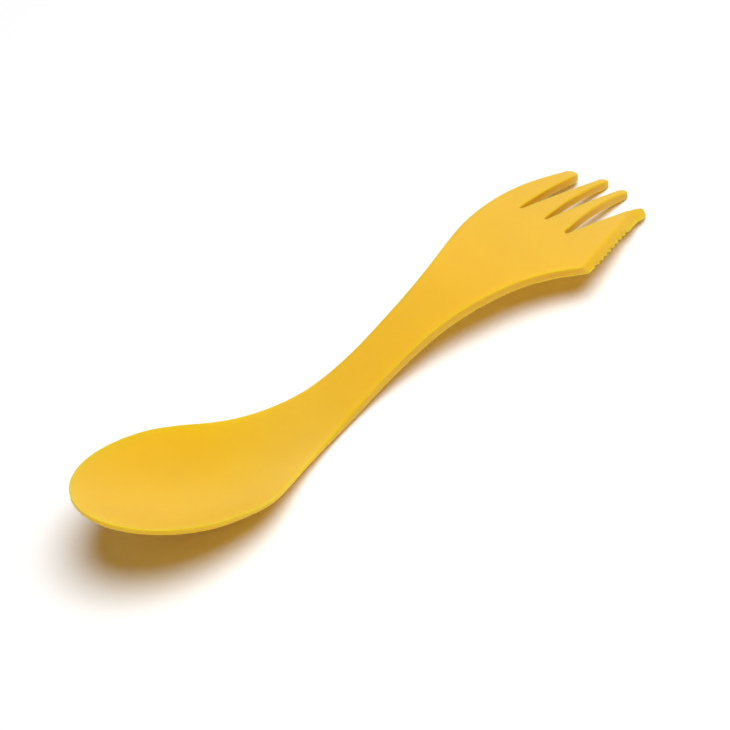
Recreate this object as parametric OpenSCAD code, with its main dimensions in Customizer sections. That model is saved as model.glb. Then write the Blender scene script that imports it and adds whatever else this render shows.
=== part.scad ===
// Spork: a spoon bowl at one end, a waisted handle, and a four-tined fork whose outer tine has a
// bevelled, serrated cutting edge. It is one moulding in one plastic.
// The moulding is described here region by region. Each region is a closed solid that meets its
// neighbours face to face, so the regions together are the whole moulding.
// X runs from the spoon tip to the tine tips, Y to the plain side of the fork, Z up from the table.
// Millimetres.

/* [Overall] */
// Length from the spoon tip to the longest tine tips
total_length = 171.4; // [150:0.1:200]
// Radius of the softened edges all round
edge_r = 0.4; // [0.2:0.05:0.5]

/* [Spoon bowl] */
// Width of the bowl over its rim
bowl_w = 38; // [34:0.5:44]
// Distance from the spoon tip to the widest place of the bowl
bowl_wide_at = 27.2; // [22:0.1:30]
// Depth of the bowl below its rim
bowl_depth = 7.6; // [6:0.1:9]
// Height of the spoon tip's rim above the lowest top edge of the neck
tip_rise = 18.9; // [14:0.1:20]
// Thickness of the rim
rim_t = 1.6; // [1.2:0.05:2]
// Thickness of the bowl's floor
bowl_t = 2; // [1.6:0.1:2.6]

/* [Handle] */
// Width of the waist
waist_w = 11.9; // [9:0.1:16]
// Distance from the spoon tip to the lowest place of the neck
neck_at = 64.6; // [60:0.1:68]
// Thickness of the handle
handle_t = 2.7; // [2.2:0.1:3.4]

/* [Fork] */
// Length of the fork, from the highest place of its root to the longest tine tips
fork_length = 51.8; // [46:0.1:56]
// Height of the fork root above the lowest top edge of the neck
crown_rise = 8.7; // [6:0.1:11]
// Distance from the centre line to the plain outer edge of the fork
fork_plain_half = 16.1; // [14:0.1:18]
// Thickness of the fork
fork_t = 2.5; // [2:0.1:3]

/* [Tines] */
// Length of the longest tines, from the bottom of the first slot
tine_length = 27.4; // [23:0.1:30]
// Distance by which the middle slot is shorter than the first one
slot_2_short = 1.1; // [0:0.1:2]
// Distance by which the third slot is shorter than the first one
slot_3_short = 0.5; // [0:0.1:2]
// Distance between slot bottoms across the fork
slot_pitch = 7.3; // [6.8:0.05:7.6]
// Distance from the centre line to the bottom of the middle slot
slot_shift = 1.4; // [1.2:0.05:2.2]
// Width of the mouth of the first slot, beside the plain outer tine
slot_mouth_1 = 4.5; // [3.5:0.1:5]
// Width of the mouth of the middle slot
slot_mouth_2 = 4.5; // [3.5:0.1:5]
// Width of the mouth of the third slot, beside the cutting tine
slot_mouth_3 = 6.6; // [5:0.1:7]
// Length of a tine's rounded end
tine_round = 3; // [2:0.1:4]
// Distance by which the plain outer tine ends before the longest ones
outer_short = 3.8; // [1:0.1:5]

/* [Cutting tine] */
// Distance from the longest tine tips back to the corner where the cutting edge starts
edge_length = 32.8; // [30:0.1:34]
// Distance from the centre line to that corner
corner_half = 19; // [18:0.1:22]
// Distance from the centre line to the end of the cutting edge
edge_end_half = 10.5; // [10:0.1:12]
// Distance from the centre line to the tip of the cutting tine
knife_tip_half = 8.4; // [8:0.1:9.6]
// Distance by which the cutting tine ends before the longest ones
knife_short = 2.6; // [1:0.1:4]
// Length of the cutting tine's rounded end
knife_round = 4.4; // [3:0.1:6]
// Width of the bevel, seen from above
bevel_w = 2; // [1.5:0.1:2.5]
// Thickness left along the cutting edge
edge_t = 0.5; // [0.3:0.05:0.8]
// Distance from the corner to the first tooth
teeth_start = 2.7; // [1:0.1:4]
// Length of the edge with teeth, along the spork
teeth_run = 18; // [14:0.5:20]
// Number of teeth
teeth = 9; // [7:1:12]
// Depth of the gaps between teeth
tooth_depth = 0.6; // [0.3:0.05:0.8]

/* [Hidden] */

// Segments across a section, and sections along a region
bowl_segments = 19;
plain_segments = 9;
palm_segments = 15;
tine_segments = 5;
tip_sections = 15;
bowl_sections = 19;
handle_sections = 22;
palm_sections = 17;
tine_sections = 18;
end_sections = 7;
// Sections to one tooth
tooth_sections = 4;

// Places along the spork, from the spoon tip: the fork root's highest place, the first slot's bottom
// and the corner, from the tine tips back, and the waist, a share of the way from neck to fork root
crown_at = total_length - fork_length;
slot_root_at = total_length - tine_length;
corner_at = total_length - edge_length;
waist_share = 0.42;
waist_at = neck_at + waist_share * (crown_at - neck_at);

// Where the regions meet: the bowl and the handle at the neck, the handle and the palm just
// behind the crown, and the palm and the tines just behind the slots
neck_cut_at = neck_at;
palm_cut_at = crown_at - 2 * fork_t;
tine_cut_at = slot_root_at - edge_r;

// A rounded corner's middle point lies this share of the way out to the sharp corner
corner_share = 0.42;
// A rounded end stops at this share of its full width, as a tiny flat
end_flat_share = 0.1;
// A tine's end is thinned to this share of its thickness
end_thin_share = 0.6;
// Where a slot is still closed, its edges are softened by this share only
closed_share = 0.1;

// Shapes of the runs between named places: shares of the run, and of the change along it
shoulder_shares = [[0, 0], [0.06, 0.004], [0.122, 0.03], [0.2, 0.118], [0.32, 0.343], [0.42, 0.532],
    [0.52, 0.68], [0.65, 0.832], [0.785, 0.938], [0.92, 0.992], [1, 1]];
rim_shares = [[0, 0], [0.31, 0.369], [0.47, 0.553], [0.625, 0.752], [0.78, 0.915], [0.89, 0.98], [1, 1]];
rise_shares = [[0.2, 0.107], [0.38, 0.348], [0.564, 0.645], [0.745, 0.874], [0.87, 0.97], [1, 1]];
drop_shares = [[0.216, 0.058], [0.412, 0.195], [0.608, 0.404], [0.804, 0.68], [0.9, 0.83], [1, 1]];
hollow_shares = [[0, 0], [0.08, 0.01], [0.18, 0.11], [0.27, 0.27], [0.37, 0.46],
    [0.47, 0.635], [0.56, 0.775], [0.66, 0.875], [0.75, 0.94], [0.88, 0.985], [1, 1]];
// The plain side of the fork: shares of the distance from waist to tips, and of the widening
plain_side_shares = [[0.08, 0.02], [0.18, 0.091], [0.3, 0.279], [0.39, 0.497], [0.5, 0.77], [0.6, 0.921],
    [0.69, 0.985], [0.76, 0.987], [0.83, 0.945], [0.9, 0.868], [1, 0.76]];
// The cutting side from the waist to the corner, likewise
corner_side_shares = [[0.13, 0.015], [0.31, 0.08], [0.52, 0.247], [0.68, 0.403], [0.78, 0.545],
    [0.87, 0.713], [0.95, 0.897], [1, 1]];
// The cutting edge from the corner to its end, likewise
cutting_shares = [[0, 0], [0.2, 0.14], [0.39, 0.33], [0.575, 0.53], [0.78, 0.76], [1, 1]];
// How a slot opens from its bottom to its mouth
slot_shares = [[0, 0], [0.006, 0.09], [0.02, 0.15], [0.06, 0.21], [0.18, 0.38], [0.35, 0.6],
    [0.59, 0.82], [0.75, 0.92], [1, 1]];
// How far the slots lean to the plain side, as shares of their half mouths
lean_shares = [0.26, 0.68, 0.45];
// The bevel widens toward the tip: shares of the edge's run, and of the bevel's width
bevel_shares = [[0, 0.6], [0.1, 0.75], [0.3, 1], [0.78, 1.1], [1, 1.15]];
// Slant of the bevel's inner line where it leaves the fork's side
bevel_run_share = 0.36;

mouths = [slot_mouth_1, slot_mouth_2, slot_mouth_3];
slots_short = [0, slot_2_short, slot_3_short];
knife_end = total_length - knife_short;
edge_end_at = knife_end - knife_round;
hollow_end_at = (neck_at + waist_at) / 2;

// A smooth curve through points that are sorted along x
function secant(p, i) = (p[i + 1].y - p[i].y) / (p[i + 1].x - p[i].x);
function weight(p, i) = (p[i + 1].x - p[i].x) / (p[i + 1].x - p[i - 1].x);
function slope(p, i) = i == 0 ? secant(p, 0)
    : i == len(p) - 1 ? secant(p, i - 1)
    : secant(p, i - 1) * weight(p, i) + secant(p, i) * (1 - weight(p, i));
function span(p, x, i = 0) = (i >= len(p) - 2 || x <= p[i + 1].x) ? i : span(p, x, i + 1);
function ease(p, i, h, s) = p[i].y * (1 + 2 * s) * (1 - s) ^ 2 + p[i + 1].y * (3 - 2 * s) * s ^ 2
    + slope(p, i) * h * s * (1 - s) ^ 2 - slope(p, i + 1) * h * (1 - s) * s ^ 2;
function hold(s) = max(0, min(1, s));
function along(p, i, x) = ease(p, i, p[i + 1].x - p[i].x, hold((x - p[i].x) / (p[i + 1].x - p[i].x)));
function curve(p, x) = along(p, span(p, x), x);
// Places along a region
function evenly(a, b, n) = [for (i = [0:n]) a + (b - a) * i / n];
// The points of a run from one named place to another
function run(from, to, shares) = let (change = to - from)
    [for (s = shares) from + [change.x * s.x, change.y * s.y]];

// Plan outline: the distance from the centre line to the edge
waist = [waist_at, waist_w / 2];
shoulder = run([bowl_wide_at, bowl_w / 2], waist, shoulder_shares);
plain_side = concat(shoulder, run(waist, [total_length, fork_plain_half], plain_side_shares));
corner_side = concat(shoulder, run(waist, [corner_at, corner_half], corner_side_shares));
cutting_side = run([corner_at, corner_half], [edge_end_at, edge_end_half], cutting_shares);
function round_end(x) = bowl_w / 2 * max(end_flat_share, sqrt(1 - (1 - x / bowl_wide_at) ^ 2));
function plain_half(x) = x < bowl_wide_at ? round_end(x) : curve(plain_side, x);
function cutting_half(x) = x < bowl_wide_at ? round_end(x)
    : x < corner_at ? curve(corner_side, x) : curve(cutting_side, x);

// Side profile up to the crown: the height of the top edge above the neck's lowest top edge
back_profile = concat(run([0, tip_rise], [neck_at, 0], rim_shares),
    run([neck_at, 0], [crown_at, crown_rise], rise_shares));

// Thickness at the edge and in the middle. The edge is thinnest where the bowl narrows to the neck
wall_shares = [[0, 0], [0.29, -0.41], [0.4, -0.45], [0.54, -0.23], [0.68, 0.36], [1, 1]];
edge_walls = concat([[0, rim_t]], run([bowl_wide_at, rim_t], [waist_at, handle_t], wall_shares),
    [[crown_at, fork_t], [total_length, fork_t]]);
floor_walls = [[0, rim_t], [bowl_wide_at / 2, bowl_t], [bowl_wide_at, bowl_t], [neck_at, bowl_t],
    [waist_at, handle_t], [crown_at, fork_t], [total_length, fork_t]];
function edge_wall(x) = curve(edge_walls, x);
// The underside's edges are rounded over this share of the thickness, the most at the neck
under_shares = [[0, 0.25], [bowl_wide_at, 0.25], [neck_at, 0.4], [waist_at, 0.2], [crown_at, 0.17],
    [total_length, 0.17]];
function under_round(x) = edge_wall(x) * curve(under_shares, x);
function floor_wall(x) = curve(floor_walls, x);

// Hollow of the bowl along its centre line, and its half width
hollow_run = run([bowl_wide_at, bowl_depth], [hollow_end_at, 0], hollow_shares);
function hollow_round(x) = 1 - (hold((bowl_wide_at - x) / (bowl_wide_at - edge_r))) ^ 2;
function hollow(x) = x < bowl_wide_at ? bowl_depth * hollow_round(x)
    : x < hollow_end_at ? curve(hollow_run, x) : 0;
function hollow_half(x) = max(closed_share * plain_half(x),
    (x < bowl_wide_at ? bowl_w / 2 * sqrt(hollow_round(x)) : plain_half(x)) - edge_r);

// Height of the bowl's lowest underside: the table. The tine tips come down to it too
rest = min([for (x = evenly(bowl_wide_at, waist_at, bowl_sections))
    curve(back_profile, x) - hollow(x) - floor_wall(x)]);
profile = concat(back_profile, run([crown_at, crown_rise], [total_length, rest + fork_t], drop_shares));
function top_at(x) = curve(profile, x) - rest;

// Slots: their bottoms and sides. Side 1 is the one toward the plain outer edge, side -1 the other
function slot_y(k) = slot_shift + slot_pitch * (1 - k);
function slot_x(k) = slot_root_at + slots_short[k];
function slot_open(k, x) = curve(slot_shares, hold((x - slot_x(k)) / (total_length - slot_x(k))));
function slot_side(k, side, x) = slot_y(k) + slot_open(k, x) * mouths[k] / 2 * (side + lean_shares[k]);

// Cutting edge: the teeth, the bevel's inner line and the thickness left under the bevel
tooth_pitch = teeth_run / teeth;
bevel_cover = 1 - edge_t / fork_t;
function tooth_place(x) = (x - corner_at - teeth_start) / tooth_pitch;
function tooth_gap(x) = tooth_place(x) < 0 || tooth_place(x) > teeth ? 0
    : tooth_depth * sin(180 * (tooth_place(x) - floor(tooth_place(x))));
function edge_share(x) = hold((x - corner_at) / (edge_end_at - corner_at));
function edge_line(x) =
    curve(cutting_side, max(x, corner_at)) - bevel_w * curve(bevel_shares, edge_share(x));
function bevel_line(x) = min(cutting_half(x), edge_line(x) + max(0, corner_at - x) * bevel_run_share);

// A side of a section: its inner and outer places, the softening above and below, and the share
// that a bevel covers
function plain_edge(y, x) = [y, y, edge_r, under_round(x), 0];
function slot_edge(k, side, x) = let (
        y = slot_side(k, side, x),
        soft = max(closed_share, hold(slot_open(k, x) * mouths[k] / 2 / edge_r)))
    [y, y, edge_r * soft, under_round(x) * soft, 0];
function cutting_edge(x) = let (
        inner = bevel_line(x),
        width = cutting_half(x) - inner,
        gap = tooth_gap(x),
        cover = bevel_cover * hold(width / bevel_w * 2) * (width - gap) / max(width, edge_r))
    [-inner, gap - cutting_half(x), edge_r, under_round(x) * (1 - cover), cover];

// One corner of a section: the point before it, its middle and the point after it
function softened(a, corner, b, out) = [a, corner * out + (a + b) * (1 - out) / 2, b];
// One side of a section, from the top surface down to the underside. The wall slants outward
// over its covered share, the bevel, and stands upright below it
function wall(edge, dir, top, t) = let (
        low = edge[3],
        r = min(edge[2], (t - low) / 2),
        crisp = corner_share + (1 - corner_share) * hold(edge[4] * t / r),
        a = [edge[0] - dir * r, top],
        b = [edge[1], top - max(r, edge[4] * t)],
        c = [edge[1], top - t + low],
        d = [edge[1] - dir * low, top - t])
    concat(softened(a, [edge[0], top], b, crisp), softened(c, [edge[1], top - t], d, corner_share));

// The heights of the hollow's top surface and of the underside across a section
function dished(y, half, depth) = depth * max(0, 1 - (y / half) ^ 2);
function spaced(a, b, n) = [for (i = [1:n - 1]) a + (b - a) * (1 - cos(180 * i / n)) / 2];

// One closed section of the moulding, as points [x, y, z] that run over the top and back below
function section(x, left_edge, right_edge, segments) = let (
        top = top_at(x),
        t = edge_wall(x),
        depth = hollow(x),
        deep = depth + floor_wall(x) - t,
        left = wall(left_edge, 1, top, t),
        right = wall(right_edge, -1, top, t),
        upper = [for (y = spaced(left[0].x, right[0].x, segments))
            [y, top - dished(y, hollow_half(x), depth)]],
        lower = [for (y = spaced(right[5].x, left[5].x, segments))
            [y, top - t - dished(y, max(left[5].x, edge_r), deep)]],
        ring = concat([left[2], left[1], left[0]], upper, right, lower, [left[5], left[4], left[3]]))
    [for (p = ring) [x, p.x, p.y]];

// A tine's section drawn in toward its middle and its underside, s of the way into its round end
function pinched(ring, y_mid, z_low, s) = let (
        narrow = max(end_flat_share, sqrt(1 - s ^ 2)),
        thin = end_thin_share + (1 - end_thin_share) * sqrt(1 - s ^ 2))
    [for (p = ring) [p.x, y_mid + (p.y - y_mid) * narrow, z_low + (p.z - z_low) * thin]];

// Shares of a round end, closer and closer toward its tip
function closing(n) = [for (i = [1:n]) sin(90 * i / n)];

// Faces of a solid through rings that each have the same number of points
function quad(a, b, c, d) = [[a, c, b], [a, d, c]];
function side_faces(rings, n) = [for (i = [0:rings - 2], j = [0:n - 1])
    each quad(i * n + j, i * n + (j + 1) % n, (i + 1) * n + (j + 1) % n, (i + 1) * n + j)];
function cap_faces(n) = [for (j = [0:n / 2 - 2]) each quad(j, n - 1 - j, n - 2 - j, j + 1)];
function turned(faces, start) = [for (f = faces) [f[2] + start, f[1] + start, f[0] + start]];
module loft(rings) {
    n = len(rings[0]);
    last = (len(rings) - 1) * n;
    translate([-total_length / 2, 0, 0])
        polyhedron([for (r = rings) each r], concat(side_faces(len(rings), n), cap_faces(n),
            turned(cap_faces(n), last)), convexity = 6);
}

function plain_section(x, segments) =
    section(x, plain_edge(plain_half(x), x), plain_edge(-cutting_half(x), x), segments);

// Places along the cutting edge, at equal parts of each tooth
function toothed(from, to) = concat([from], [for (i = [0:teeth * tooth_sections])
    let (x = corner_at + teeth_start + i * tooth_pitch / tooth_sections)
        if (x > from + edge_r / 4 && x < to - edge_r / 4) x], [to]);
// Places along a tine, closer together at the slots' bottoms
function slotted(to) =
    [for (i = [0:tine_sections]) tine_cut_at + (to - tine_cut_at) * (i / tine_sections) ^ 2];

// Spoon bowl, from its round tip to the neck
module spoon_bowl() {
    tip = [for (i = [0:tip_sections - 1]) bowl_wide_at * (1 - cos(90 * i / tip_sections))];
    color("#f5bf3c")
        loft([for (x = concat(tip, evenly(bowl_wide_at, neck_cut_at, bowl_sections)))
            plain_section(x, bowl_segments)]);
}

// Handle, from the neck through the waist to the fork's root
module handle() {
    color("#f3c03d")
        loft([for (x = evenly(neck_cut_at, palm_cut_at, handle_sections)) plain_section(x, plain_segments)]);
}

// Palm of the fork, in which the bevelled edge starts at its corner
module fork_palm() {
    side = [for (x = evenly(palm_cut_at, corner_at, palm_sections)) if (x < corner_at) x];
    color("#f8c240")
        loft([for (x = concat(side, toothed(corner_at, tine_cut_at)))
            section(x, plain_edge(plain_half(x), x), cutting_edge(x), palm_segments)]);
}

// A tine through sections at the given places, with a round end about one middle line. The
// functions give its two sides at a place along it
module tine(places, end_at, round_run, middle, left, right) {
    straight = [for (x = places) section(x, left(x), right(x), tine_segments)];
    rounded = [for (s = closing(end_sections)) let (x = end_at - round_run * (1 - s))
        pinched(section(x, left(x), right(x), tine_segments), middle, top_at(x) - edge_wall(x), s)];
    loft(concat(straight, rounded));
}

// Plain outer tine
module tine_1() {
    end_at = total_length - outer_short;
    round_at = end_at - tine_round;
    color("#f7c03e")
        tine(slotted(round_at), end_at, tine_round, (plain_half(round_at) + slot_side(0, 1, round_at)) / 2,
            function (x) plain_edge(plain_half(x), x), function (x) slot_edge(0, 1, x));
}

// A tine between slot k and the next one
module inner_tine(k) {
    round_at = total_length - tine_round;
    color("#f7c03e")
        tine(slotted(round_at), total_length, tine_round,
            (slot_side(k, -1, round_at) + slot_side(k + 1, 1, round_at)) / 2,
            function (x) slot_edge(k, -1, x), function (x) slot_edge(k + 1, 1, x));
}
module tine_2() { inner_tine(0); }
module tine_3() { inner_tine(1); }

// Outer tine with the bevelled, serrated cutting edge
module knife_tine() {
    color("#eeb423")
        tine(toothed(tine_cut_at, edge_end_at), knife_end, knife_round, -knife_tip_half,
            function (x) slot_edge(2, -1, x), function (x) cutting_edge(x));
}

spoon_bowl();
handle();
fork_palm();
tine_1();
tine_2();
tine_3();
knife_tine();
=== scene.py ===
import math

import bmesh
import bpy
import numpy as np
from mathutils import Matrix, Vector
from mathutils.geometry import delaunay_2d_cdt
from mathutils.kdtree import KDTree


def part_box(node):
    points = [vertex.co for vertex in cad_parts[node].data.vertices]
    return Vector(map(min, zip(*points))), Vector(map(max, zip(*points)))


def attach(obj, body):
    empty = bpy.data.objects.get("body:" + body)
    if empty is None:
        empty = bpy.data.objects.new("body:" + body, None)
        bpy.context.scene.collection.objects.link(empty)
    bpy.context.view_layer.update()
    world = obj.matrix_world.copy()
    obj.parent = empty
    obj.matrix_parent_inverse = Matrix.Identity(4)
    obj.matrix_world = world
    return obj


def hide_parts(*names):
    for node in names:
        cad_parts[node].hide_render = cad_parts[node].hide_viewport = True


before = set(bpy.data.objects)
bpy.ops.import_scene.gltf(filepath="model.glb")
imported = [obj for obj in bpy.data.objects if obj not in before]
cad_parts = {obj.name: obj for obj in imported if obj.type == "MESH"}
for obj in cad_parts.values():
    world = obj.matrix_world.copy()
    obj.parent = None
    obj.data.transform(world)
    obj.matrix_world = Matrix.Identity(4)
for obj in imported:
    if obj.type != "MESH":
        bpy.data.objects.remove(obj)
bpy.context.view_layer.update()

# The plan of the moulding. The spork is one injection moulding in solid golden yellow plastic, from
# the spoon tip to the tine tips, and a two-part mould formed it. This is its outline from above: an
# oval bowl, a waisted handle, and a fork with a plain side and a side that flares out to a corner.
mm = 0.001
spoon_tip_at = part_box("spoon_bowl")[0].x
tines_end_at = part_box("tine_2")[1].x
bowl_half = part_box("spoon_bowl")[1].y
neck_at = spoon_tip_at + 64.6 * mm
bowl_wide_at = spoon_tip_at + 27.2 * mm
crown_at = tines_end_at - 51.8 * mm
waist_share = 0.42
waist_at = neck_at + waist_share * (crown_at - neck_at)
waist_half = 5.95 * mm
slot_root_at = tines_end_at - 27.4 * mm
fork_half = 16.1 * mm
corner_at = tines_end_at - 32.8 * mm
corner_half = -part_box("fork_palm")[0].y
shoulder_shares = [(0, 0), (0.06, 0.004), (0.122, 0.03), (0.2, 0.118), (0.32, 0.343), (0.42, 0.532),
                   (0.52, 0.68), (0.65, 0.832), (0.785, 0.938), (0.92, 0.992), (1, 1)]
plain_side_shares = [(0.08, 0.02), (0.18, 0.091), (0.3, 0.279), (0.39, 0.497), (0.5, 0.77), (0.6, 0.921),
                     (0.69, 0.985), (0.76, 0.987), (0.83, 0.945), (0.9, 0.868), (1, 0.76)]
corner_side_shares = [(0.13, 0.015), (0.31, 0.08), (0.52, 0.247), (0.68, 0.403), (0.78, 0.545),
                      (0.87, 0.713), (0.95, 0.897), (1, 1)]


def smooth_curve(points, x):
    """The height at x of a smooth curve through points that are sorted along x."""
    px, py = np.array(points, float).T
    width = np.diff(px)
    secant = np.diff(py) / width
    slope = np.empty(len(px))
    slope[0] = secant[0]
    slope[-1] = secant[-1]
    slope[1:-1] = (secant[:-1] * width[1:] + secant[1:] * width[:-1]) / (width[:-1] + width[1:])
    i = np.clip(np.searchsorted(px, x, side="right") - 1, 0, len(px) - 2)
    s = np.clip((x - px[i]) / width[i], 0, 1)
    start = py[i] * (1 + 2 * s) * (1 - s) ** 2 + slope[i] * width[i] * s * (1 - s) ** 2
    end = py[i + 1] * (3 - 2 * s) * s ** 2 - slope[i + 1] * width[i] * (1 - s) * s ** 2
    return start + end


def run(start, end, shares):
    """The points of a run between two named places, from shares of the way and of the change."""
    return [(start[0] + (end[0] - start[0]) * s, start[1] + (end[1] - start[1]) * c) for s, c in shares]


waist = (waist_at, waist_half)
shoulder = run((bowl_wide_at, bowl_half), waist, shoulder_shares)
plain_side = shoulder + run(waist, (tines_end_at, fork_half), plain_side_shares)
corner_side = shoulder + run(waist, (corner_at, corner_half), corner_side_shares)


def plain_half(x):
    """Distance from the centre line to the edge on the plain side."""
    back = np.clip((bowl_wide_at - x) / (bowl_wide_at - spoon_tip_at), 0, 1)
    return np.where(x < bowl_wide_at, bowl_half * np.sqrt(1 - back ** 2), smooth_curve(plain_side, x))


# The slots between the tines. The mould's cores leave three slots that are narrow and pointed at
# their bottoms, open toward the tips, and lean a little to the plain side.
slot_pitch = 7.3 * mm
slot_shift = 1.4 * mm
slot_starts = [slot_root_at, slot_root_at + 1.1 * mm, slot_root_at + 0.5 * mm]
slot_mouths = [4.5 * mm, 4.5 * mm, 6.6 * mm]
slot_leans = [0.26, 0.68, 0.45]
slot_shares = [(0, 0), (0.006, 0.09), (0.02, 0.15), (0.06, 0.21), (0.18, 0.38), (0.35, 0.6),
               (0.59, 0.82), (0.75, 0.92), (1, 1)]


def slot_side(k, side, x):
    """One side of slot k at x: side 1 is the one toward the plain edge, side -1 the other."""
    way = np.clip((x - slot_starts[k]) / (tines_end_at - slot_starts[k]), 0, 1)
    half_open = smooth_curve(slot_shares, way) * slot_mouths[k] / 2
    return slot_shift + slot_pitch * (1 - k) + half_open * (side + slot_leans[k])


# The cutting side. From the corner the edge runs in toward the tip of the outer tine, and a bevel
# on the top face, wider toward the tip, brings the plastic down to a thin edge.
knife_end = tines_end_at - 2.6 * mm
knife_round = 4.4 * mm
edge_end_at = knife_end - knife_round
edge_end_half = 10.5 * mm
knife_middle = -8.4 * mm
cutting_shares = [(0, 0), (0.2, 0.14), (0.39, 0.33), (0.575, 0.53), (0.78, 0.76), (1, 1)]
cutting_side = run((corner_at, corner_half), (edge_end_at, edge_end_half), cutting_shares)
bevel_width = 2 * mm
bevel_shares = [(0, 0.6), (0.1, 0.75), (0.3, 1), (0.78, 1.1), (1, 1.6)]
bevel_slant = 0.36
bevel_least = 0.05 * mm
land = 0.5 * mm


def cutting_half(x):
    """Distance from the centre line to the edge on the cutting side."""
    behind = np.where(x < bowl_wide_at, plain_half(x), smooth_curve(corner_side, x))
    return np.where(x < corner_at, behind, smooth_curve(cutting_side, x))


def bevel_inner(x):
    """Distance from the centre line to the bevel's inner line."""
    way = np.clip((x - corner_at) / (edge_end_at - corner_at), 0, 1)
    edge = smooth_curve(cutting_side, np.maximum(x, corner_at))
    line = edge - bevel_width * smooth_curve(bevel_shares, way)
    return np.minimum(cutting_half(x), line + np.maximum(0, corner_at - x) * bevel_slant)


# The side view of the moulding. The spoon tip stands high, the neck is the lowest place of the top
# edge, the handle swings up to the fork's root, and the tines come down to the table. The bowl is
# hollowed out between its rims, and its floor is thicker than its rim.
tip_rise = 18.9 * mm
crown_rise = 8.73 * mm
rim_thickness = 1.6 * mm
floor_thickness = 2 * mm
handle_thickness = 2.7 * mm
fork_thickness = 2.5 * mm
bowl_depth = 7.6 * mm
hollow_end_at = (neck_at + waist_at) / 2
rim_shares = [(0, 0), (0.31, 0.369), (0.47, 0.553), (0.625, 0.752), (0.78, 0.915), (0.89, 0.98), (1, 1)]
rise_shares = [(0.2, 0.107), (0.38, 0.348), (0.564, 0.645), (0.745, 0.874), (0.87, 0.97), (1, 1)]
drop_shares = [(0.216, 0.058), (0.412, 0.195), (0.608, 0.404), (0.804, 0.68), (0.9, 0.83), (1, 1)]
hollow_shares = [(0, 0), (0.08, 0.01), (0.18, 0.11), (0.27, 0.27), (0.37, 0.46), (0.47, 0.635),
                 (0.56, 0.775), (0.66, 0.875), (0.75, 0.94), (0.88, 0.985), (1, 1)]
hollow_run = run((bowl_wide_at, bowl_depth), (hollow_end_at, 0), hollow_shares)
wall_shares = [(0, 0), (0.29, -0.41), (0.4, -0.45), (0.54, -0.23), (0.68, 0.36), (1, 1)]
edge_walls = ([(spoon_tip_at, rim_thickness)]
              + run((bowl_wide_at, rim_thickness), (waist_at, handle_thickness), wall_shares)
              + [(crown_at, fork_thickness), (tines_end_at, fork_thickness)])
floor_walls = [(spoon_tip_at, rim_thickness), ((spoon_tip_at + bowl_wide_at) / 2, floor_thickness),
               (bowl_wide_at, floor_thickness), (neck_at, floor_thickness), (waist_at, handle_thickness),
               (crown_at, fork_thickness), (tines_end_at, fork_thickness)]
back_profile = (run((spoon_tip_at, tip_rise), (neck_at, 0), rim_shares)
                + run((neck_at, 0), (crown_at, crown_rise), rise_shares))
belly = np.linspace(bowl_wide_at, waist_at, 200)
belly_bottom = np.min(smooth_curve(back_profile, belly) - smooth_curve(hollow_run, belly)
                      - smooth_curve(floor_walls, belly))
profile = ([(x, z - belly_bottom) for x, z in back_profile]
           + run((crown_at, crown_rise - belly_bottom), (tines_end_at, fork_thickness), drop_shares))
upper_rounds = [(spoon_tip_at, 0.25 * mm), (bowl_wide_at, 0.25 * mm), (neck_at - 20 * mm, 0.35 * mm),
                (neck_at - 5 * mm, 0.8 * mm), (neck_at + 3 * mm, 1 * mm), (neck_at + 12 * mm, 0.5 * mm),
                (crown_at, 0.3 * mm), (slot_root_at, 0.3 * mm), (tines_end_at, 0.6 * mm)]
under_round_shares = [(spoon_tip_at, 0.15), (bowl_wide_at, 0.15), (neck_at - 20 * mm, 0.4),
                      (neck_at - 5 * mm, 0.3), (neck_at + 4 * mm, 0.15), (waist_at, 0.12),
                      (crown_at, 0.1), (tines_end_at, 0.1)]
rim_land = 0.25 * mm
tip_ends = [tines_end_at - 3.8 * mm, tines_end_at, tines_end_at, knife_end]
tip_rounds = [3 * mm, 3 * mm, 3 * mm, knife_round]
tip_thinness = 0.6


def hollow_at(x, y, half, depth_of_run):
    """How far a hollow of the given half width drops the surface at x, y."""
    back = np.clip((bowl_wide_at - x) / (bowl_wide_at - spoon_tip_at - rim_land), 0, 1)
    across = y / (bowl_half - rim_land)
    oval = depth_of_run(np.maximum(x, bowl_wide_at)) * np.maximum(0, 1 - back ** 2 - across ** 2)
    trough = depth_of_run(x) * np.maximum(0, 1 - (y / half) ** 2)
    return np.where(x < bowl_wide_at, oval, trough)


def hollow_depth(x):
    """Depth of the hollow along the centre line."""
    return np.where(x < hollow_end_at, smooth_curve(hollow_run, x), 0)


def belly_depth(x):
    """How far the underside hangs below its edges along the centre line."""
    return hollow_depth(x) + smooth_curve(floor_walls, x) - smooth_curve(edge_walls, x)


def tine_of(x, y):
    """Which of the four tines a place belongs to, from the plain outer one to the cutting one."""
    middles = [slot_side(k, 0, np.maximum(x, slot_starts[k])) for k in range(3)]
    return sum((y < m).astype(int) for m in middles)


def tip_share(x, y):
    """How far a place lies into the round end of its tine, from 0 to 1."""
    tine = tine_of(x, y)
    end = np.array(tip_ends)[tine]
    length = np.array(tip_rounds)[tine]
    return np.clip((x - end + length) / length, 0, 1)


def under_z(x, y):
    """Height of the underside."""
    edge = smooth_curve(profile, x) - smooth_curve(edge_walls, x)
    return edge - hollow_at(x, y, plain_half(x) - rim_land, belly_depth)


def bevel_share(x, y):
    """How far down its slant the bevel is at a place, from 0 to 1."""
    tip = np.where(y < slot_side(2, 0, x), tip_share(x, y), 0)
    across = knife_middle + (y - knife_middle) / np.maximum(0.1, np.sqrt(1 - tip ** 2))
    width = np.maximum(cutting_half(x) - bevel_inner(x), bevel_least)
    return np.clip((-across - bevel_inner(x)) / width, 0, 1) * np.clip(2 * width / bevel_width, 0, 1)


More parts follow.
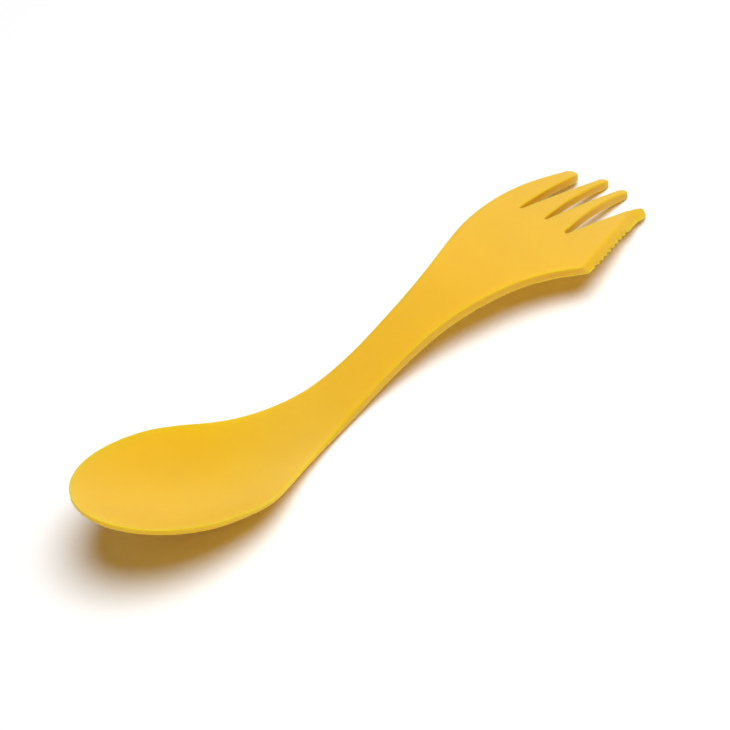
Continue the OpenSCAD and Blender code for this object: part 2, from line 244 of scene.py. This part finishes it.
def upper_z(x, y):
    """Height of the top surface: the rim line, less the bowl's hollow, the bevel and the tips."""
    thickness = smooth_curve(edge_walls, x)
    level = smooth_curve(profile, x) - hollow_at(x, y, plain_half(x) - rim_land, hollow_depth)
    level = level - np.where(x > crown_at, bevel_share(x, y) * (thickness - land), 0)
    thin = tip_thinness + (1 - tip_thinness) * np.sqrt(1 - tip_share(x, y) ** 2)
    below = under_z(x, y)
    return np.where(x > crown_at, below + (level - below) * thin, level)


# The moulding's mesh. Its outline is followed once round, its edges are rounded by rings that step
# in from that outline, and the top and the underside within the rings are filled with triangles.
outline_step = 0.4 * mm
grid_step = 0.55 * mm
grid_clearance = 0.6 * grid_step
round_steps = 5
wall_steps = 3
upper_round_most = 0.4
under_round_most = 0.9
tip_round_drop = 0.5
weld_distance = 0.004 * mm


def along(start, end, half_of, sign):
    """Points of one side of the outline, evenly spaced along x."""
    x = np.linspace(start, end, max(3, int(abs(end - start) / outline_step)))
    return np.column_stack([x, sign * half_of(x)])


def tip_points(k, upper_side, lower_side):
    """The round end of tine k, from its side toward the plain edge to the other."""
    end = tip_ends[k]
    length = tip_rounds[k]
    x_round = end - length
    middle = (upper_side(x_round) + lower_side(x_round)) / 2 if k < 3 else knife_middle
    turn = np.linspace(0, math.pi, 19)[1:-1]
    x = x_round + length * np.sin(turn)
    side = np.where(turn < math.pi / 2, upper_side(x), lower_side(x))
    return np.column_stack([x, middle + (side - middle) * np.abs(np.cos(turn))])


def slot_points(k):
    """Slot k from tip to tip: along its plain side to the bottom and back on the other side."""
    ways = np.linspace(1, 0, 60) ** 2
    first = slot_starts[k] + (tip_ends[k] - tip_rounds[k] - slot_starts[k]) * ways
    last = slot_starts[k] + (tip_ends[k + 1] - tip_rounds[k + 1] - slot_starts[k]) * ways[::-1][1:]
    return [np.column_stack([first, slot_side(k, 1, first)]),
            np.column_stack([last, slot_side(k, -1, last)])]


def moulding_outline():
    """The outline once round, clockwise from above, from the bowl's widest place round its tip."""
    turn = np.linspace(-math.pi / 2, math.pi / 2, 150)
    x = bowl_wide_at - (bowl_wide_at - spoon_tip_at) * np.cos(turn)
    oval = np.column_stack([x, np.sign(turn) * plain_half(x)])
    pieces = [oval, along(bowl_wide_at, tip_ends[0] - tip_rounds[0], plain_half, 1)[1:]]
    sides = [plain_half]
    for k in range(3):
        sides.append(lambda x, k=k: slot_side(k, 1, x))
        sides.append(lambda x, k=k: slot_side(k, -1, x))
    sides.append(lambda x: -cutting_half(x))
    for k in range(4):
        pieces.append(tip_points(k, sides[2 * k], sides[2 * k + 1]))
        if k < 3:
            pieces += slot_points(k)
    pieces.append(along(edge_end_at, corner_at, cutting_half, -1))
    pieces.append(along(corner_at, bowl_wide_at, cutting_half, -1)[1:-1])
    return np.concatenate(pieces)


def outward(outline):
    """Unit normals of a closed outline, pointing away from the plastic."""
    back = outline - np.roll(outline, 1, axis=0)
    ahead = np.roll(outline, -1, axis=0) - outline
    back /= np.linalg.norm(back, axis=1)[:, None]
    ahead /= np.linalg.norm(ahead, axis=1)[:, None]
    tangent = back + ahead
    tangent /= np.linalg.norm(tangent, axis=1)[:, None]
    return np.column_stack([-tangent[:, 1], tangent[:, 0]])


def inside(outline, points):
    """Which points lie inside a closed outline."""
    crossings = np.zeros(len(points), int)
    for a, b in zip(outline, np.roll(outline, -1, axis=0)):
        spans = (a[1] > points[:, 1]) != (b[1] > points[:, 1])
        if a[1] != b[1]:
            crossing_at = a[0] + (points[:, 1] - a[1]) * (b[0] - a[0]) / (b[1] - a[1])
            crossings += spans & (points[:, 0] < crossing_at)
    return crossings % 2 == 1


def filled(ring):
    """Triangles that fill a closed ring of plan points, with a fine grid of points inside it."""
    columns = np.arange(spoon_tip_at, tines_end_at, grid_step * math.sqrt(3) / 2)
    rows = np.arange(-bowl_half, bowl_half, grid_step)
    x, y = np.meshgrid(columns, rows, indexing="ij")
    y[1::2] += grid_step / 2
    points = np.column_stack([x.ravel(), y.ravel()])
    points = points[inside(ring, points)]
    tree = KDTree(len(ring))
    for i, p in enumerate(ring):
        tree.insert((p[0], p[1], 0), i)
    tree.balance()
    clear = [tree.find((p[0], p[1], 0))[2] > grid_clearance for p in points]
    points = np.concatenate([ring, points[clear]])
    edges = [(i, (i + 1) % len(ring)) for i in range(len(ring))]
    result = delaunay_2d_cdt([Vector(p / mm) for p in points], edges, [], 0, 1e-6, False)
    plan = np.array([tuple(v) for v in result[0]]) * mm
    triangles = np.array(result[2])
    return plan, triangles[inside(ring, plan[triangles].mean(axis=1))].tolist()


def moulding_mesh():
    """The whole moulding as one closed mesh."""
    outline = moulding_outline()
    normal = outward(outline)
    x, y = outline.T
    wall_height = upper_z(x, y) - under_z(x, y)
    upper_round = np.minimum(smooth_curve(upper_rounds, x), upper_round_most * wall_height)
    under_round = smooth_curve(under_round_shares, x) * smooth_curve(edge_walls, x)
    under_round = np.minimum(under_round, under_round_most * (wall_height - upper_round))
    tip = 1 - tip_round_drop * tip_share(x, y)
    upper_round *= tip
    under_round *= tip
    rings = []
    for turn in np.linspace(0, math.pi / 2, round_steps + 1):
        p = outline - normal * (upper_round * (1 - math.sin(turn)))[:, None]
        rings.append(np.column_stack([p, upper_z(*p.T) - upper_round * (1 - math.cos(turn))]))
    foot = np.column_stack([outline, under_z(x, y) + under_round])
    for s in np.linspace(0, 1, wall_steps + 1)[1:-1]:
        rings.append(rings[round_steps] * (1 - s) + foot * s)
    for turn in np.linspace(math.pi / 2, 0, round_steps + 1):
        p = outline - normal * (under_round * (1 - math.sin(turn)))[:, None]
        rings.append(np.column_stack([p, under_z(*p.T) + under_round * (1 - math.cos(turn))]))
    count = len(outline)
    verts = [tuple(p) for ring in rings for p in ring]
    faces = []
    for r in range(len(rings) - 1):
        for i in range(count):
            j = (i + 1) % count
            faces.append((r * count + j, r * count + i, (r + 1) * count + i, (r + 1) * count + j))
    for ring, height, turned in ((rings[0], upper_z, False), (rings[-1], under_z, True)):
        plan, triangles = filled(ring[:, :2])
        start = len(verts)
        verts += [tuple(p) for p in np.column_stack([plan, height(*plan.T)])]
        for t in triangles:
            faces.append(tuple(start + i for i in (reversed(t) if turned else t)))
    mesh = bpy.data.meshes.new("moulding")
    mesh.from_pydata(verts, [], faces)
    joined = bmesh.new()
    joined.from_mesh(mesh)
    bmesh.ops.remove_doubles(joined, verts=joined.verts, dist=weld_distance)
    bmesh.ops.recalc_face_normals(joined, faces=joined.faces)
    joined.to_mesh(mesh)
    joined.free()
    return mesh


moulding = bpy.data.objects.new("moulding", moulding_mesh())
bpy.context.scene.collection.objects.link(moulding)


# The plastic. It is coloured golden yellow right through, satin, with the fine grain that the mould
# leaves on it. Light scatters inside it, and a thin wall lets some tinted light through to the floor.
def plastic_material():
    """Golden yellow plastic with slight changes of colour and gloss."""
    material = bpy.data.materials.new("golden_plastic")
    material.use_nodes = True
    nodes = material.node_tree.nodes
    links = material.node_tree.links
    shader = nodes["Principled BSDF"]
    shader.inputs["IOR"].default_value = 1.5
    shader.inputs["Specular IOR Level"].default_value = 0.35
    shader.inputs["Subsurface Weight"].default_value = 1
    shader.inputs["Subsurface Radius"].default_value = (1, 0.9, 0.35)
    shader.inputs["Subsurface Scale"].default_value = 3.5 * mm
    place = nodes.new("ShaderNodeTexCoord")
    clouds = nodes.new("ShaderNodeTexNoise")
    clouds.inputs["Scale"].default_value = 60
    clouds.inputs["Detail"].default_value = 3
    colour = nodes.new("ShaderNodeValToRGB")
    colour.color_ramp.elements[0].position = 0.3
    colour.color_ramp.elements[0].color = (0.78, 0.465, 0.01, 1)
    colour.color_ramp.elements[1].position = 0.7
    colour.color_ramp.elements[1].color = (0.81, 0.485, 0.013, 1)
    gloss = nodes.new("ShaderNodeMapRange")
    gloss.inputs["To Min"].default_value = 0.42
    gloss.inputs["To Max"].default_value = 0.54
    grain = nodes.new("ShaderNodeTexNoise")
    grain.inputs["Scale"].default_value = 2600
    grain.inputs["Detail"].default_value = 2
    bump = nodes.new("ShaderNodeBump")
    bump.inputs["Strength"].default_value = 0.12
    bump.inputs["Distance"].default_value = 0.03 * mm
    links.new(place.outputs["Object"], clouds.inputs["Vector"])
    links.new(place.outputs["Object"], grain.inputs["Vector"])
    links.new(clouds.outputs["Fac"], colour.inputs["Fac"])
    links.new(clouds.outputs["Fac"], gloss.inputs["Value"])
    links.new(grain.outputs["Fac"], bump.inputs["Height"])
    links.new(colour.outputs["Color"], shader.inputs["Base Color"])
    links.new(gloss.outputs["Result"], shader.inputs["Roughness"])
    links.new(bump.outputs["Normal"], shader.inputs["Normal"])
    through = nodes.new("ShaderNodeBsdfTransparent")
    through.inputs["Color"].default_value = (0.31, 0.21, 0.03, 1)
    path = nodes.new("ShaderNodeLightPath")
    either = nodes.new("ShaderNodeMixShader")
    links.new(path.outputs["Is Shadow Ray"], either.inputs["Fac"])
    links.new(shader.outputs["BSDF"], either.inputs[1])
    links.new(through.outputs["BSDF"], either.inputs[2])
    links.new(either.outputs["Shader"], nodes["Material Output"].inputs["Surface"])
    return material


# The teeth of the cutting edge. The mould has a row of small round ribs there, and they leave nine
# shallow gaps at one pitch. The tree sets a round cutter at each gap's place along the edge and
# takes the cutters away from the moulding.
teeth_values = {"Teeth": 9, "Gap Radius": 1.13 * mm, "Gap Depth": 0.6 * mm, "Cutter Height": 30 * mm}
teeth_run = 16 * mm
first_gap_at = corner_at + 3.7 * mm
last_gap_at = first_gap_at + teeth_run


def edge_line():
    """A line along the cutting edge, from the middle of the first gap to that of the last."""
    line = bpy.data.curves.new("edge_line", "CURVE")
    line.dimensions = "3D"
    x = np.linspace(first_gap_at, last_gap_at, 80)
    points = line.splines.new("POLY").points
    points.add(len(x) - 1)
    points.foreach_set("co", np.column_stack([x, -cutting_half(x), 0 * x, 0 * x + 1]).ravel())
    return bpy.data.objects.new("edge_line", line)


def teeth_tree():
    """The node tree that cuts the gaps between the teeth."""
    tree = bpy.data.node_groups.new("cutting_edge_teeth", "GeometryNodeTree")
    for name, kind in (("Moulding", "Geometry"), ("Edge Line", "Object"), ("Teeth", "Int"),
                       ("Gap Radius", "Float"), ("Gap Depth", "Float"), ("Cutter Height", "Float"),
                       ("Material", "Material")):
        tree.interface.new_socket(name, in_out="INPUT", socket_type="NodeSocket" + kind)
    tree.interface.new_socket("Moulding", in_out="OUTPUT", socket_type="NodeSocketGeometry")
    nodes = tree.nodes
    links = tree.links
    given = nodes.new("NodeGroupInput")
    line = nodes.new("GeometryNodeObjectInfo")
    places = nodes.new("GeometryNodeCurveToPoints")
    places.mode = "COUNT"
    outward_from_edge = nodes.new("ShaderNodeVectorMath")
    outward_from_edge.operation = "CROSS_PRODUCT"
    outward_from_edge.inputs[1].default_value = (0, 0, 1)
    reach = nodes.new("ShaderNodeMath")
    reach.operation = "SUBTRACT"
    offset = nodes.new("ShaderNodeVectorMath")
    offset.operation = "SCALE"
    moved = nodes.new("GeometryNodeSetPosition")
    cutter = nodes.new("GeometryNodeMeshCylinder")
    cutter.inputs["Vertices"].default_value = 48
    cutters = nodes.new("GeometryNodeInstanceOnPoints")
    cut = nodes.new("GeometryNodeMeshBoolean")
    cut.operation = "DIFFERENCE"
    cut.solver = "MANIFOLD"
    real = nodes.new("GeometryNodeRealizeInstances")
    made_of = nodes.new("GeometryNodeSetMaterial")
    result = nodes.new("NodeGroupOutput")
    links.new(given.outputs["Edge Line"], line.inputs["Object"])
    links.new(line.outputs["Geometry"], places.inputs["Curve"])
    links.new(given.outputs["Teeth"], places.inputs["Count"])
    links.new(places.outputs["Tangent"], outward_from_edge.inputs[0])
    links.new(given.outputs["Gap Radius"], reach.inputs[0])
    links.new(given.outputs["Gap Depth"], reach.inputs[1])
    links.new(outward_from_edge.outputs["Vector"], offset.inputs["Vector"])
    links.new(reach.outputs["Value"], offset.inputs["Scale"])
    links.new(places.outputs["Points"], moved.inputs["Geometry"])
    links.new(offset.outputs["Vector"], moved.inputs["Offset"])
    links.new(given.outputs["Gap Radius"], cutter.inputs["Radius"])
    links.new(given.outputs["Cutter Height"], cutter.inputs["Depth"])
    links.new(moved.outputs["Geometry"], cutters.inputs["Points"])
    links.new(cutter.outputs["Mesh"], cutters.inputs["Instance"])
    links.new(given.outputs["Moulding"], cut.inputs["Mesh 1"])
    links.new(cutters.outputs["Instances"], cut.inputs["Mesh 2"])
    links.new(cut.outputs["Mesh"], real.inputs["Geometry"])
    links.new(real.outputs["Geometry"], made_of.inputs["Geometry"])
    links.new(given.outputs["Material"], made_of.inputs["Material"])
    links.new(made_of.outputs["Geometry"], result.inputs["Moulding"])
    return tree


plastic = plastic_material()
moulding.data.materials.append(plastic)
line_object = edge_line()
cutting = moulding.modifiers.new("cutting_edge_teeth", "NODES")
cutting.node_group = teeth_tree()
teeth_values["Edge Line"] = line_object
teeth_values["Material"] = plastic
for socket in cutting.node_group.interface.items_tree:
    if socket.in_out == "INPUT" and socket.name in teeth_values:
        cutting[socket.identifier] = teeth_values[socket.name]
evaluated = moulding.evaluated_get(bpy.context.evaluated_depsgraph_get())
toothed_mesh = bpy.data.meshes.new_from_object(evaluated)
moulding.modifiers.remove(cutting)
moulding.data = toothed_mesh
bpy.data.objects.remove(line_object)
moulding.data.shade_smooth()
moulding.data.set_sharp_from_angle(angle=math.radians(40))
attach(moulding, "root")
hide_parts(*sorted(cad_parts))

# The floor. A plain white flat sheet that the spork lies on.
floor_half = 3.0
floor_mesh = bpy.data.meshes.new("floor")
floor_mesh.from_pydata([(-floor_half, -floor_half, 0), (floor_half, -floor_half, 0),
                        (floor_half, floor_half, 0), (-floor_half, floor_half, 0)], [], [(0, 1, 2, 3)])
floor = bpy.data.objects.new("floor", floor_mesh)
bpy.context.scene.collection.objects.link(floor)
floor_material = bpy.data.materials.new("white_floor")
floor_material.use_nodes = True
floor_nodes = floor_material.node_tree.nodes
floor_links = floor_material.node_tree.links
floor_shader = floor_nodes["Principled BSDF"]
floor_shader.inputs["Roughness"].default_value = 1
floor_shader.inputs["Specular IOR Level"].default_value = 0
seen = floor_nodes.new("ShaderNodeLightPath")
floor_colour = floor_nodes.new("ShaderNodeMix")
floor_colour.data_type = "RGBA"
floor_colour.inputs["A"].default_value = (0.9, 0.9, 0.9, 1)
floor_colour.inputs["B"].default_value = (1, 1, 1, 1)
floor_links.new(seen.outputs["Is Camera Ray"], floor_colour.inputs["Factor"])
floor_links.new(floor_colour.outputs["Result"], floor_shader.inputs["Base Color"])
floor.data.materials.append(floor_material)

# The light. One large soft box hangs above, a little toward the near side. The room behind the spork
# is plain white and the near side is darker, and the satin plastic mirrors that as a pale sheen.
world = bpy.data.worlds.new("room")
world.use_nodes = True
room_nodes = world.node_tree.nodes
room_links = world.node_tree.links
room_light = room_nodes["Background"]
room_light.inputs["Color"].default_value = (1, 1, 1, 1)
room_light.inputs["Strength"].default_value = 0.05
backdrop = room_nodes.new("ShaderNodeBackground")
backdrop.inputs["Color"].default_value = (1, 1, 1, 1)
mirrored = room_nodes.new("ShaderNodeBackground")
mirrored.inputs["Color"].default_value = (1, 1, 1, 1)
direction = room_nodes.new("ShaderNodeTexCoord")
away_from_viewer = room_nodes.new("ShaderNodeVectorMath")
away_from_viewer.operation = "DOT_PRODUCT"
away_from_viewer.inputs[1].default_value = (0.63, 0.77, 0)
brightness = room_nodes.new("ShaderNodeMapRange")
brightness.inputs["From Min"].default_value = 0.1
brightness.inputs["From Max"].default_value = 0.9
brightness.inputs["To Min"].default_value = 0.15
brightness.inputs["To Max"].default_value = 1.4
room_seen = room_nodes.new("ShaderNodeLightPath")
with_mirrored = room_nodes.new("ShaderNodeMixShader")
with_backdrop = room_nodes.new("ShaderNodeMixShader")
room_links.new(direction.outputs["Generated"], away_from_viewer.inputs[0])
room_links.new(away_from_viewer.outputs["Value"], brightness.inputs["Value"])
room_links.new(brightness.outputs["Result"], mirrored.inputs["Strength"])
room_links.new(room_seen.outputs["Is Glossy Ray"], with_mirrored.inputs["Fac"])
room_links.new(room_light.outputs["Background"], with_mirrored.inputs[1])
room_links.new(mirrored.outputs["Background"], with_mirrored.inputs[2])
room_links.new(room_seen.outputs["Is Camera Ray"], with_backdrop.inputs["Fac"])
room_links.new(with_mirrored.outputs["Shader"], with_backdrop.inputs[1])
room_links.new(backdrop.outputs["Background"], with_backdrop.inputs[2])
room_links.new(with_backdrop.outputs["Shader"], room_nodes["World Output"].inputs["Surface"])
bpy.context.scene.world = world
soft_box = bpy.data.lights.new("soft_box", "AREA")
soft_box.shape = "DISK"
soft_box.size = 0.8
soft_box.energy = 8.7
soft_box_object = bpy.data.objects.new("soft_box", soft_box)
soft_box_object.location = (0.07, -0.11, 0.8)
soft_box_object.rotation_euler = Vector(soft_box_object.location).to_track_quat("Z", "Y").to_euler()
soft_box_object.visible_glossy = False
bpy.context.scene.collection.objects.link(soft_box_object)

# The camera, at the photograph's viewing angle, from the near side above the bowl end.
azimuth = math.radians(39.233)
elevation = math.radians(42.555)
roll = math.radians(-6.974)
distance = 0.809297
target = Vector((-0.0001, 0, 0.008))
forward = Vector((math.cos(elevation) * math.sin(azimuth), math.cos(elevation) * math.cos(azimuth),
                  -math.sin(elevation)))
level_right = forward.cross(Vector((0, 0, 1))).normalized()
level_up = level_right.cross(forward)
right = level_right * math.cos(roll) + level_up * math.sin(roll)
up = level_up * math.cos(roll) - level_right * math.sin(roll)
camera = bpy.data.objects.new("camera", bpy.data.cameras.new("camera"))
camera.matrix_world = Matrix.Translation(target - forward * distance) @ Matrix(
    (right, up, -forward)).transposed().to_4x4()
camera.data.sensor_width = 36
camera.data.lens = 172.6
camera.data.shift_x = -0.00898
camera.data.shift_y = -0.01444
bpy.context.scene.collection.objects.link(camera)
bpy.context.scene.camera = camera
bpy.context.scene.view_settings.view_transform = "Standard"
